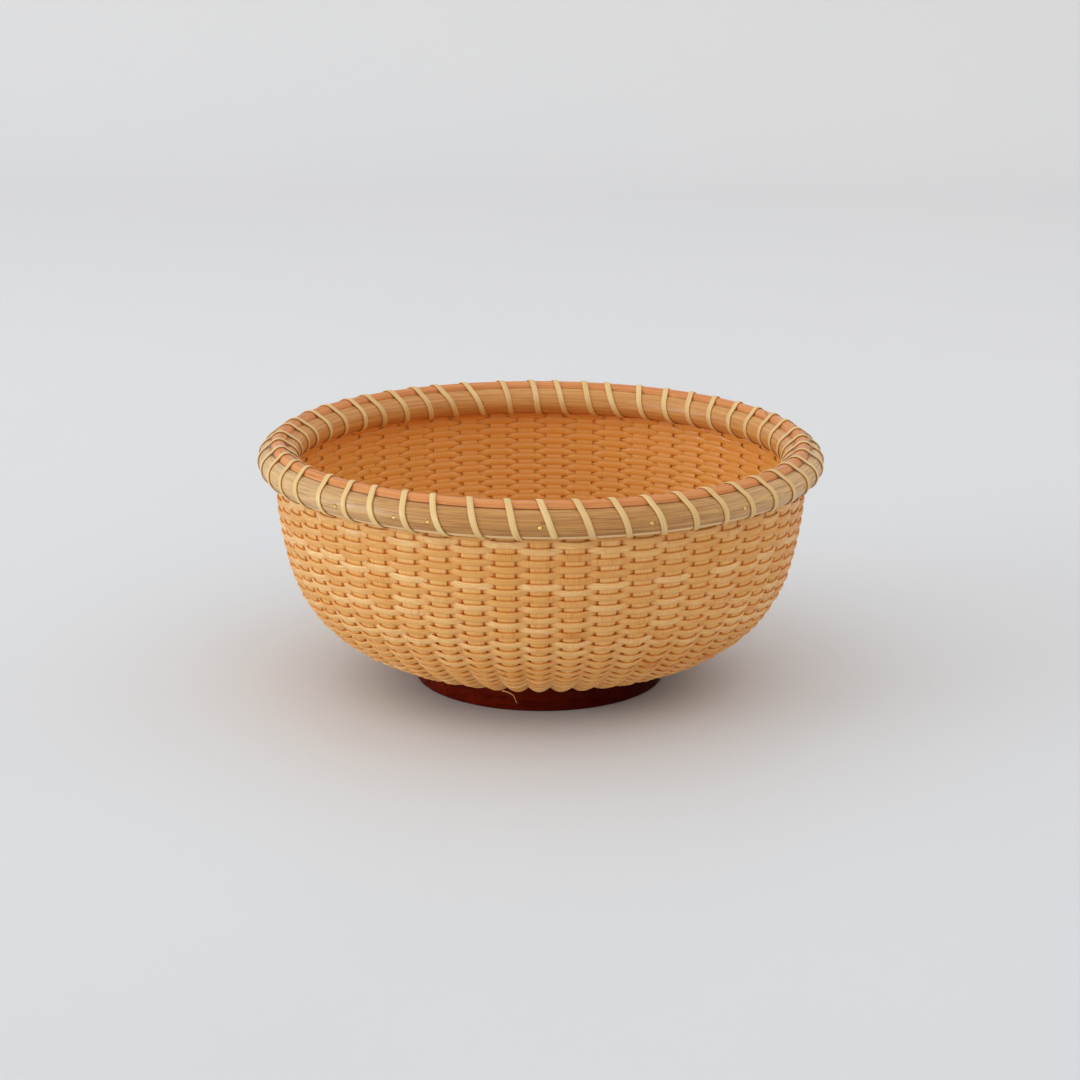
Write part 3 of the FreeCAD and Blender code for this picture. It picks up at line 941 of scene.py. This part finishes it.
@dataclass
class WovenWall:
    """The staves and the weaver of the bowl's wall.

    Attributes:
        form: The wall's section.
        work: How unevenly it is woven.
        stave_t: Thickness of a stave.
        stave_foot: Length of a stave's foot in the kerf.
        stave_step: Length of one step of a stave's mesh.
        top_gap: From a stave's top to the top of the hoops.
        weaver_t: Thickness of the weaver.
        swing: How far the weaver's middle lies outside the staves' middle at a crest.
        ride: Share of a stave's swell that is added to that.
        dip: How far it lies inside them, where the mould held it flat.
        swell_low: How far the staves' outer faces swell at the base.
        swell_high: How far they swell under the rim.
        ribs_to: Length along the wall up to which the staves crowd into round ribs.
        ribs_from: Length along the wall from which they lie flat.
        pitch_low: From one row to the next at the base.
        pitch_high: From one row to the next under the rim.
        start: Length along the wall where the first row begins.
        woven: Length along the wall that the rows fill.
        tip: Turns left off at each end, where the weaver tapers away.
        end_gap: How far a strand's ends stop short behind their stave, in staves.
        steps: Steps of the weaver's mesh from one stave to the next.
        bands: Pieces that the weaver is made in.
        pull: How far the staves give way to the weaver.
        lean: How far the weaver's upper edge leans out at a crest, in radians.
        sag: How far a strand sags at a crest, in row pitches.
        breadth: Width of a strand, in row pitches.
        slim_over: How much of that it loses over a stave.
        wide_behind: How much it gains behind a stave.
        wide_low: How much it gains near the base.
        thin_behind: Share of its thickness that it loses behind a stave.
        least_half: The least half width of the weaver, at its tips.
        burnt: Darker spots: the stave that each lies over, and its length along the wall.
        stave_turn: How far each stave has strayed round the bowl, in radians.
    """

    form: BowlForm
    work: HandWork = HandWork()
    stave_t: float = 0.75 * MM
    stave_foot: float = 6.6 * MM
    stave_step: float = 0.4 * MM
    top_gap: float = 0.05 * MM
    weaver_t: float = 0.8 * MM
    swing: float = 0.74 * MM
    ride: float = 0.75
    dip: float = 0.22 * MM
    swell_low: float = 1.0 * MM
    swell_high: float = 0.16 * MM
    ribs_to: float = 6.0 * MM
    ribs_from: float = 64.0 * MM
    pitch_low: float = 1.41 * MM
    pitch_high: float = 1.795 * MM
    start: float = 0.7 * MM
    woven: float = 74.65 * MM
    tip: float = 0.45
    end_gap: float = 0.012
    steps: int = 10
    bands: int = 4
    pull: float = 0.15 * MM
    lean: float = math.radians(5.0)
    sag: float = 0.12
    breadth: float = 1.3
    slim_over: float = 0.04
    wide_behind: float = 0.28
    wide_low: float = 0.1
    thin_behind: float = 0.35
    least_half: float = 0.08 * MM
    burnt: tuple[tuple[int, float], ...] = (
        (50, 70.5 * MM), (50, 46.0 * MM), (1, 46.0 * MM), (1, 70.0 * MM), (46, 58.0 * MM), (4, 30.0 * MM))
    stave_turn: np.ndarray = field(init=False)

    def __post_init__(self) -> None:
        """Sets how far each stave has strayed round the bowl, the same on every run."""
        self.stave_turn = Chance.STRAY.source().normal(0.0, self.work.stray, self.form.count)

    @property
    def rows(self) -> float:
        """How many rows the weaver makes."""
        return 2.0 * self.woven / (self.pitch_low + self.pitch_high)

    def level(self, turns: np.ndarray) -> np.ndarray:
        """Where the weaver's upper edge lies.

        Args:
            turns: Turns from the weaver's start.

        Returns:
            Lengths along the wall.
        """
        done = np.clip(turns, 0.0, self.rows)
        gain = (self.pitch_high - self.pitch_low) / (2.0 * self.rows)
        return self.start + self.pitch_low * done + gain * done ** 2

    def turns_at(self, length: PerStep) -> PerStep:
        """The turn whose upper edge lies at a length along the wall."""
        turns = np.arange(0.0, self.rows + 0.01, 0.02)
        return np.interp(length, self.level(turns), turns)

    def angle(self, staves: np.ndarray) -> np.ndarray:
        """Where the staves stand, and places between them.

        Args:
            staves: Places counted in staves from the front.

        Returns:
            Angles from the front in radians, with each stave where it has strayed to.
        """
        first = np.floor(staves).astype(int)
        share = staves - first
        stray = self.stave_turn[first % self.form.count] * (1.0 - share)
        stray = stray + self.stave_turn[(first + 1) % self.form.count] * share
        return staves * self.form.pitch + stray

    def tight(self, length: np.ndarray) -> np.ndarray:
        """1 near the base, where the staves crowd into round ribs, and 0 higher up."""
        return 1.0 - smooth(length, self.ribs_to, self.ribs_from)

    def crown(self, length: np.ndarray) -> np.ndarray:
        """How far the staves swell in the middle at a length along the wall."""
        return self.swell_high + (self.swell_low - self.swell_high) * self.tight(length)

    @staticmethod
    def over(staves: np.ndarray, tight: np.ndarray) -> np.ndarray:
        """How a strand runs over and behind the staves.

        Args:
            staves: Places along the strand, counted in staves.
            tight: 1 where it runs in round waves, 0 where it lies along a stave before it dives.

        Returns:
            1 over a stave, -1 behind one.
        """
        away = np.abs(staves - 1.0 - 2.0 * np.rint((staves - 1.0) / 2.0))
        wave = np.cos(math.pi * away ** (1.15 - 0.15 * tight))
        return wave + 0.5 * (1.0 - tight) * (flat_topped(wave) - wave)

    def burnt_crests(self, total: int) -> np.ndarray:
        """Which crests are darker, counted in staves.

        Args:
            total: How many crests there are.

        Returns:
            True for each crest that is darker.
        """
        marked = np.zeros(total, bool)
        for stave, length in self.burnt:
            crests = np.arange(stave, total, self.form.count)
            crests = crests[crests % 2 == 1]
            off_row = np.abs(crests / self.form.count - self.turns_at(length) - 0.5)
            marked[crests[np.argmin(off_row)]] = True
        return marked

    def strand_ends(self, rng: np.random.Generator) -> list[int]:
        """Where one length of cane ends behind a stave and the next begins, counted in staves.

        Args:
            rng: The source of chance.

        Returns:
            The ends, the first and the last of the weaver among them.
        """
        first = math.ceil(self.tip * self.form.count)
        last = math.floor((self.rows + 1.0 - self.tip) * self.form.count)
        ends = [first]
        while last - ends[-1] > self.work.last * self.form.count:
            ends.append(ends[-1] + int(rng.integers(*self.work.lengths)) // 2 * 2 + ends[-1] % 2)
        return ends + [last]

    def draw_crests(self, total: int, rng: np.random.Generator) -> Crests:
        """Draws what differs from crest to crest.

        Args:
            total: How many crests there are.
            rng: The source of chance.

        Returns:
            The crests.
        """
        work = self.work
        return Crests(
            tone=np.clip(rng.normal(0.0, work.crest_spread, total), *work.crest_range),
            scorched=(rng.random(total) < work.scorched) | self.burnt_crests(total),
            cracked=np.where(
                rng.random(total) < work.cracked, rng.uniform(*work.cracks, total),
                rng.uniform(*work.sound, total)),
            wander=rng.normal(0.0, work.wander, total),
            breadth=rng.normal(1.0, work.crest_width, total),
            heave=rng.normal(1.0, work.heave, total))

    def strand(self, first: int, last: int, crests: Crests, rng: np.random.Generator) -> StripRun:
        """One length of cane, woven from behind one stave to behind another.

        Args:
            first: Where it starts, counted in staves.
            last: Where it ends.
            crests: What differs from crest to crest.
            rng: The source of chance.

        Returns:
            The strand.
        """
        staves = np.arange(first * self.steps, last * self.steps + 1) / self.steps
        staves[0] += self.end_gap
        staves[-1] -= self.end_gap

        def drawn(values: np.ndarray) -> np.ndarray:
            """What was drawn for the crests, spread over the steps between them."""
            return np.interp(staves, np.arange(len(values)), values)

        turns = staves / self.form.count
        low, high = self.level(turns - 1.0), self.level(turns)
        length = (low + high) / 2 + drawn(crests.wander)
        tight = self.tight(length)
        wave = self.over(staves, tight)
        above = np.maximum(wave, 0.0)
        length = length - self.sag * wave * (high - low)
        reach = np.where(wave > 0.0, self.swing + self.ride * self.crown(length), self.dip)
        middle, out, _ = self.form.place(length, reach * wave * drawn(crests.heave), self.angle(staves))
        shape = (
            self.breadth - self.slim_over * above + self.wide_behind * smooth(-wave, 0.3, 0.9)
            + self.wide_low * tight)
        width = (high - low) * shape * drawn(crests.breadth) * rng.normal(1.0, self.work.width_spread)
        tone = rng.normal(self.work.tone, self.work.tone_spread) + drawn(crests.tone)
        near = np.rint(staves).astype(int)
        burn = crests.scorched[near] * (1.0 - smooth(np.abs(staves - near), 0.3, 0.5))
        thin = self.thin_behind * smooth(-wave, 0.2, 0.8)
        # bare falls as the strand dives behind a stave, and the finish paints shade there.
        return StripRun(
            middle, out, np.maximum(width / 2, self.least_half), self.weaver_t / 2 * (1.0 - thin),
            tone=np.clip(tone, 0.0, 0.68) * (1.0 - 0.3 * burn) + 0.4 * burn,
            bare=smooth(wave, -0.7, 0.35), crazed=np.maximum(crests.cracked[near], crests.scorched[near]),
            lean=self.lean * above)

    def build_weaver(self, material: Material) -> list[Piece]:
        """Builds the weaver in bands of rows, each length of cane with its own tone and width.

        Args:
            material: The weaver's finish.

        Returns:
            The bands, from the base up.
        """
        rng = Chance.WEAVER.source()
        ends = self.strand_ends(rng)
        total = ends[-1] + 2
        crests = self.draw_crests(total, rng)
        bundles = [StripBundle("weaver_band_%d" % (band + 1), Shave.CROWNED) for band in range(self.bands)]
        for first, last in zip(ends, ends[1:]):
            band = int(self.bands * (first + last) / (2.0 * total))
            bundles[min(band, self.bands - 1)].add(self.strand(first, last, crests, rng))
        pieces = [bundle.build(material, "weaver_cane") for bundle in bundles]
        for piece in pieces:
            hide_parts("weaver")
        return pieces

    def build_staves(self, material: Material) -> list[Piece]:
        """Builds each stave from its foot in the kerf to its top between the hoops.

        Args:
            material: The staves' finish.

        Returns:
            The staves, from the front round towards +X.
        """
        rng = Chance.STAVES.source()
        form, work = self.form, self.work
        length = np.arange(
            -self.stave_foot, form.wall_length + form.hoop_h - self.top_gap, self.stave_step)
        row_at = self.turns_at(length)
        under_rim = smooth(length, form.wall_length - 2.0 * MM, form.wall_length)
        fade = smooth(length, 0.5 * MM, 3.0 * MM) * (1.0 - under_rim)
        pieces = []
        for number in range(form.count):
            rows = number + row_at + 0.5 - number / form.count
            give = -np.cos(math.pi * rows) * fade
            angle = self.angle(np.full(len(length), float(number)))
            middle, out, radius = form.place(length, -self.pull * give, angle)
            half = radius * form.span / 2 * rng.normal(1.0, work.width_spread)
            tone = np.clip(rng.normal(work.tone, work.tone_spread), 0.1, 0.66)
            bundle = StripBundle("cane_stave_%02d" % (number + 1), Shave.FLAT)
            # bare falls where the stave turns under the weaver, and the finish paints shade there.
            bundle.add(StripRun(
                middle, out, half, self.stave_t / 2, tone + 0.06 * np.sin(length / (9.0 * MM) + number),
                bare=1.0 - fade * (1.0 - np.abs(give)), crown=self.crown(length)))
            piece = bundle.build(material, "stave_cane")
            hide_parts("stave_%02d" % (number + 1))
            pieces.append(piece)
        return pieces


def dress_node(node: str, material: Material) -> None:
    """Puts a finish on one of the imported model's own nodes.

    Args:
        node: The node's name.
        material: Its finish.
    """
    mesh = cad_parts[node].data
    mesh.materials.clear()
    mesh.materials.append(material)
    LOG.info("%s: dressed in %s", node, material.name)


@dataclass(frozen=True)
class Circle:
    """A circle in the rim's section, which the lashing runs round.

    Attributes:
        centre_r: The centre's distance from the basket's axis.
        centre_z: The centre's height.
        radius: The circle's radius.
    """

    centre_r: float
    centre_z: float
    radius: float

    def facing(self, angle: float) -> np.ndarray:
        """The radius and height of the point that faces an angle, with that angle."""
        across, up = self.radius * math.cos(angle), self.radius * math.sin(angle)
        return np.array([self.centre_r + across, self.centre_z + up, angle])


@dataclass
class BoundRim:
    """The two hoops, the cap over the stave tops, the lashing round them and the brass pins.

    Attributes:
        form: The wall's section.
        gap: From a stave's middle to a hoop's flat face.
        hoop_d: Radial depth of a hoop.
        hoop_round: Radius of a hoop's round face.
        cap_w: Width of the cap.
        cap_h: Height of the cap.
        clear: Clearance under the cap and under the lashing.
        lash_w: Width of the lashing.
        lash_t: Thickness of the lashing.
        lash_tone: The tone that most loops are near.
        tone_spread: How far the loops' tones differ.
        lash_crazed: How far the lashing's skin is cracked.
        stray: How far a loop strays from its place, in loops.
        width_spread: How far the loops differ in width.
        tuck: Share of a loop left off at the hidden end.
        steps: Steps of the lashing's mesh in one loop.
        belt_steps: Steps in which each line or arc of a loop's way is worked out.
    """

    form: BowlForm
    gap: float = 0.5 * MM
    hoop_d: float = 5.45 * MM
    hoop_round: float = 4.25 * MM
    cap_w: float = 4.6 * MM
    cap_h: float = 1.75 * MM
    clear: float = 0.05 * MM
    lash_w: float = 1.95 * MM
    lash_t: float = 0.42 * MM
    lash_tone: float = 0.4
    tone_spread: float = 0.13
    lash_crazed: float = 0.1
    stray: float = 0.075
    width_spread: float = 0.03
    tuck: float = 0.12
    steps: int = 60
    belt_steps: int = 24

    @property
    def hoop_reach(self) -> float:
        """From the staves' middle to the centre of a hoop's round face."""
        return self.gap + self.hoop_d - self.hoop_round

    def belt(self) -> list[tuple[np.ndarray, np.ndarray, Circle | None]]:
        """The lashing's way once round the rim's section, from under the wall, up inside and down outside.

        Returns:
            Each line or arc: its start and end as radius, height and the angle faced, and an arc's circle.
        """
        form = self.form
        cap_round = ((self.cap_w / 2) ** 2 + self.cap_h ** 2) / (2 * self.cap_h)
        lift = self.clear + self.lash_t / 2
        wide, small = self.hoop_round + lift, cap_round + lift
        cap_z = form.hoop_z + form.hoop_h + self.clear + self.cap_h - cap_round
        rise = cap_z - form.hoop_mid
        spread = math.asin((wide - small) / math.hypot(self.hoop_reach, rise))
        leave = math.atan2(self.hoop_reach, rise) + spread
        inner = Circle(form.wall_r - self.hoop_reach, form.hoop_mid, wide)
        outer = Circle(form.wall_r + self.hoop_reach, form.hoop_mid, wide)
        cap = Circle(form.wall_r, cap_z, small)
        begin, end = 3 * math.pi / 2, -math.pi / 2
        stops = [
            (inner.facing(begin), inner.facing(math.pi - leave), inner),
            (cap.facing(math.pi - leave), cap.facing(leave), cap),
            (outer.facing(leave), outer.facing(end), outer)]
        belt = []
        here = np.array([form.wall_r, stops[0][0][1], begin])
        for first, last, circle in stops:
            belt += [(here, first, None), (first, last, circle)]
            here = last
        return belt + [(here, np.array([form.wall_r, here[1], end]), None)]

    def belt_table(self) -> tuple[np.ndarray, np.ndarray]:
        """The belt step by step.

        Returns:
            The length at each step, and its radius, height and the angle it faces.
        """
        belt = self.belt()
        rows = []
        for start, end, circle in belt:
            for share in np.linspace(0.0, 1.0, self.belt_steps, endpoint=False):
                row = start + (end - start) * share
                rows.append(circle.facing(row[2]) if circle else row)
        table = np.array(rows + [belt[-1][1]])
        return travelled(table[:, :2]), table

    def build_lashing(self, material: Material) -> Piece:
        """Builds the lashing: one flat strand, once round the rim in each gap between two staves.

        Args:
            material: The lashing's finish.

        Returns:
            The lashing.
        """
        rng = Chance.LASHING.source()
        count = self.form.count
        lengths, table = self.belt_table()
        free = lengths[-1] - 2 * self.hoop_reach
        loops = np.arange(0, math.floor((count - self.tuck) * self.steps) + 1) / self.steps
        turn = np.floor(loops).astype(int)
        length = (loops - turn) * lengths[-1]
        moved = np.clip((length - self.hoop_reach) / free, 0.0, 1.0)
        stray = rng.normal(0.0, self.stray, count + 1)[turn] * np.sin(math.pi * moved) ** 2
        angle = self.form.pitch * (turn + 0.5 + moved + stray)
        radius, height, facing = (np.interp(length, lengths, table[:, part]) for part in range(3))
        tone = np.clip(rng.normal(self.lash_tone, self.tone_spread, count + 1), 0.05, 0.66)[turn]
        breadth = rng.normal(1.0, self.width_spread, count + 1)
        width = self.lash_w * np.interp(loops, np.arange(count + 1), breadth)
        bundle = StripBundle("cane_lashing", Shave.CROWNED)
        bundle.add(StripRun(
            around(radius, angle, height), around(np.cos(facing), angle, np.sin(facing)), width / 2,
            self.lash_t / 2, tone, crazed=self.lash_crazed))
        piece = bundle.build(material, "lash_cane")
        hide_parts("lashing")
        return piece

    @staticmethod
    def dress(finishes: dict[str, Material]) -> None:
        """Gives the rim's hard pieces their finishes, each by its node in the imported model."""
        for node, material in finishes.items():
            dress_node(node, material)


@dataclass
class LooseFibre:
    """A sliver of cane that has sprung from the lowest rows and hangs over the foot.

    Attributes:
        form: The wall's section.
        root_at: Length along the wall where it leaves the weave.
        root_out: How far out of the staves' middle it starts.
        angle: Where it hangs, in radians from the front.
        reach: How far it reaches along the wall.
        drop: How far it reaches besides, to the front and down.
        bow: How far it bows up on the way.
        curl: How far its tip curls down.
        thick: Half its width at the root.
        flat: Its thickness, in widths.
        steps: Points along it.
    """

    form: BowlForm
    root_at: float = 14.5 * MM
    root_out: float = 1.9 * MM
    angle: float = math.radians(-11.5)
    reach: float = 4.5 * MM
    drop: Point = (0.0, -0.2 * MM, -2.0 * MM)
    bow: float = 0.5 * MM
    curl: float = 1.5 * MM
    thick: float = 0.24 * MM
    flat: float = 0.7
    steps: int = 22

    def build(self, material: Material) -> Piece:
        """Builds the sliver.

        Args:
            material: Its finish.

        Returns:
            The sliver.
        """
        share = np.linspace(0.0, 1.0, self.steps)
        root, out, _ = self.form.place(
            np.array([self.root_at]), np.array([self.root_out]), np.array([self.angle]))
        right = np.array([math.cos(self.angle), math.sin(self.angle), 0.0])
        middle = root + share[:, None] * (right * self.reach + np.array(self.drop))
        middle[:, 2] += self.bow * np.sin(math.pi * share) - self.curl * smooth(share, 0.72, 1.0)
        taper = self.thick * (1.0 - 0.75 * share)
        bundle = StripBundle("loose_fibre", Shave.ROUND)
        bundle.add(StripRun(middle, out, taper, taper * self.flat, tone=0.1))
        return bundle.build(material, "weaver_cane")


@dataclass(frozen=True)
class Lamp:
    """A square lamp that faces the basket.

    Attributes:
        name: The lamp's name.
        spot: Where it hangs.
        size: Length of a side.
        watts: Its power.
        tint: Its colour.
    """

    name: str
    spot: Point
    size: float
    watts: float
    tint: Tint

    def build(self, aim: Point) -> None:
        """Hangs the lamp.

        Args:
            aim: The point that it faces.
        """
        data = bpy.data.lights.new(self.name, "AREA")
        data.size, data.energy, data.color = self.size, self.watts, self.tint
        lamp = bpy.data.objects.new(self.name, data)
        lamp.location = self.spot
        lamp.rotation_euler = (Vector(aim) - Vector(self.spot)).to_track_quat("-Z", "Y").to_euler()
        bpy.context.scene.collection.objects.link(lamp)


@dataclass
class Studio:
    """The pale floor, the soft light and the camera.

    Attributes:
        aim: What the camera looks at.
        distance: From the camera to there.
        elevation: The camera's height above the horizon, in radians.
        roll: How far the camera is tilted, in radians.
        lens: Focal length for a 36 mm sensor, in millimetres.
        lamps: The lamps.
        sky: Strength of the even light overhead, which is about half as strong at the horizon.
        warm: Colour of the even light at the horizon.
        cool: Colour of the even light overhead.
        shown: Colour of the backdrop where it shows, straight or in a reflection.
        floor_near: Colour of the floor in front, darker: painted shade for light that falls off towards the
            front.
        floor_far: Colour of the floor at the back and of the backdrop, paler: painted light.
        floor_cloud: Colour of faint clouds in both.
        floor_front: Where the floor starts, along Y.
        floor_back: Where it begins to sweep up, along Y.
        floor_bend: Radius of the sweep.
        floor_top: Height of the backdrop.
        floor_half: Half the floor's width.
        floor_columns: Points across the floor.
        bend_steps: Steps of the sweep.
    """

    aim: Point = (-0.08 * MM, 0.0, 42.07 * MM)
    distance: float = 770.0 * MM
    elevation: float = math.radians(15.475)
    roll: float = math.radians(0.303)
    lens: float = 84.03
    lamps: tuple[Lamp, ...] = (
        Lamp("window_left", (-1.7, -0.6, 0.22), 1.0, 16.0, (0.89, 1.04, 1.14)),
        Lamp("fill_front", (0.5, -1.6, 1.2), 1.7, 1.2, (1.0, 0.99, 0.98)))
    sky: float = 1.06
    warm: Colour = (1.0, 0.9, 0.77, 1.0)
    cool: Colour = (0.97, 0.995, 1.03, 1.0)
    shown: Colour = paint(225, 221, 219)
    floor_near: Colour = paint(216, 217, 218)
    floor_far: Colour = paint(229, 228, 228)
    floor_cloud: Colour = paint(225, 226, 226)
    floor_front: float = -3.5
    floor_back: float = 1.1
    floor_bend: float = 0.5
    floor_top: float = 1.7
    floor_half: float = 4.0
    floor_columns: int = 9
    bend_steps: int = 16

    def floor_material(self) -> Material:
        """Builds the floor's finish.

        Returns:
            The material.
        """
        material, nodes, shader = new_material("pale_floor")
        place = nodes.place()
        # Painted light: the floor is painted darker in front and paler towards the back and the backdrop.
        pale = nodes.mix(nodes.step(nodes.split(place)[1], -0.35, 0.5), self.floor_near, self.floor_far)
        cloud = nodes.step(nodes.noise(place, 3.0, 3.0), 0.35, 0.65, 0.0, 0.3)
        nodes.fill_named(
            shader, Base_Color=nodes.mix(cloud, pale, self.floor_cloud), Roughness=0.55,
            Specular_IOR_Level=0.25)
        return material

    def build_floor(self) -> Piece:
        """Builds the floor, which sweeps up behind into a backdrop.

        Returns:
            The floor.
        """
        profile = [(self.floor_front, 0.0)]
        for turn in np.linspace(0.0, math.pi / 2, self.bend_steps + 1):
            profile.append((
                self.floor_back + self.floor_bend * math.sin(turn), self.floor_bend * (1.0 - math.cos(turn))))
        profile.append((self.floor_back + self.floor_bend, self.floor_top))
        wide = self.floor_columns
        columns = np.linspace(-self.floor_half, self.floor_half, wide)
        faces = [
            tuple(row * wide + column + corner for corner in (0, 1, wide + 1, wide))
            for row in range(len(profile) - 1) for column in range(wide - 1)]
        mesh = bpy.data.meshes.new("floor")
        mesh.from_pydata([(x, y, z) for y, z in profile for x in columns], [], faces)
        for face in mesh.polygons:
            face.use_smooth = True
        mesh.materials.append(self.floor_material())
        floor = bpy.data.objects.new("floor", mesh)
        bpy.context.scene.collection.objects.link(floor)
        return floor

    def build_lights(self) -> None:
        """Builds the lamps and the even light."""
        for lamp in self.lamps:
            lamp.build(self.aim)
        world = bpy.data.worlds.new("studio")
        bpy.context.scene.world = world
        world.use_nodes = True
        nodes = Nodes(world.node_tree)
        across, _, up = nodes.split(nodes.add("ShaderNodeTexCoord").outputs["Generated"])
        strength = nodes.times(
            nodes.step(up, -0.1, 0.9, 0.55 * self.sky, self.sky), nodes.step(across, -0.9, 0.9, 1.05, 0.95))
        sky = nodes.fill_named(
            world.node_tree.nodes["Background"], Strength=strength,
            Color=nodes.mix(nodes.step(up, 0.0, 0.7), self.warm, self.cool))
        shown = nodes.fill_named(nodes.add("ShaderNodeBackground"), Color=self.shown, Strength=1.0)
        path = nodes.add("ShaderNodeLightPath")
        seen = nodes.math("MAXIMUM", path.outputs["Is Camera Ray"], path.outputs["Is Glossy Ray"])
        seen = nodes.math("MAXIMUM", seen, path.outputs["Is Transmission Ray"])
        blend = nodes.fill(nodes.add("ShaderNodeMixShader"), seen, sky.outputs[0], shown.outputs[0])
        nodes.feed(world.node_tree.nodes["World Output"].inputs["Surface"], blend.outputs[0])

    def build_camera(self) -> Piece:
        """Builds the camera at the photograph's viewing angle.

        Returns:
            The camera.
        """
        data = bpy.data.cameras.new("camera")
        data.sensor_width, data.lens = 36.0, self.lens
        data.clip_start, data.clip_end = 0.01, 20.0
        camera = bpy.data.objects.new("camera", data)
        back = Vector((0.0, -math.cos(self.elevation), math.sin(self.elevation)))
        camera.location = Vector(self.aim) + back * self.distance
        camera.rotation_mode = "QUATERNION"
        look = (-back).to_track_quat("-Z", "Y")
        camera.rotation_quaternion = look @ Matrix.Rotation(self.roll, 3, "Z").to_quaternion()
        bpy.context.scene.collection.objects.link(camera)
        bpy.context.scene.camera = camera
        return camera


WEAVER_CANE = CaneFinish(
    "weaver_cane", paint(249, 206, 138), paint(231, 171, 90), paint(202, 122, 34), paint(198, 104, 6),
    paint(244, 172, 78), crevice_shade_share=0.5, notch_shade=0.95)
STAVE_CANE = CaneFinish(
    "stave_cane", paint(248, 203, 128), paint(236, 176, 92), paint(206, 136, 56), paint(202, 112, 14),
    paint(241, 168, 76))
LASH_CANE = CaneFinish(
    "lash_cane", paint(242, 212, 150), paint(232, 194, 128), paint(206, 156, 92), paint(200, 146, 80),
    paint(200, 146, 80), crevice_shade=paint(176, 112, 44), crevice_shade_share=0.7, crevice_shade_both=1.0)
OUTER_REED = ReedFinish(
    "outer_hoop_reed", paint(207, 152, 83), paint(177, 119, 57), paint(122, 74, 30), paint(238, 200, 144),
    edge_top=66.15 * MM, joint_shade_r=81.2 * MM, painted_side_light=0.55)
INNER_REED = ReedFinish(
    "inner_hoop_reed", paint(222, 164, 94), paint(202, 138, 68), paint(176, 108, 42), paint(220, 160, 90),
    edge_top=65.2 * MM)
CAP_REED = ReedFinish(
    "cap_reed", paint(226, 150, 82), paint(212, 130, 64), paint(178, 100, 42), paint(214, 136, 72),
    edge_top=0.0)
BASE_WOOD = TurnedWoodFinish(
    "base_wood", paint(106, 26, 3), paint(82, 11, 1), paint(40, 3, 1), coat=0.0, painted_shade_right=0.8)
PLUG_WOOD = TurnedWoodFinish("plug_wood", paint(132, 66, 36), paint(96, 42, 22), paint(54, 22, 12))
BRASS = BrassFinish()


def set_view() -> None:
    """Shows colours about as they are written."""
    bpy.context.scene.view_settings.view_transform = "Standard"


def main() -> None:
    """Builds the studio and the basket, piece by piece."""
    logging.basicConfig(level=logging.INFO, format="%(name)s %(message)s")
    set_view()
    studio = Studio()
    studio.build_camera()
    studio.build_floor()
    studio.build_lights()
    effects = Effects()
    form = BowlForm()
    weaver_cane = WEAVER_CANE.material(effects)
    wall = WovenWall(form)
    wall.build_staves(STAVE_CANE.material(effects))
    wall.build_weaver(weaver_cane)
    rim = BoundRim(form)
    rim.build_lashing(LASH_CANE.material(effects))
    rim.dress({
        "outer_hoop": OUTER_REED.material(effects), "inner_hoop": INNER_REED.material(effects),
        "rim_cap": CAP_REED.material(effects), "brass_pins": BRASS.material(effects)})
    dress_node("base", BASE_WOOD.material(effects))
    dress_node("mould_plug", PLUG_WOOD.material(effects))
    LooseFibre(form).build(weaver_cane)


if __name__ == "__main__":
    main()
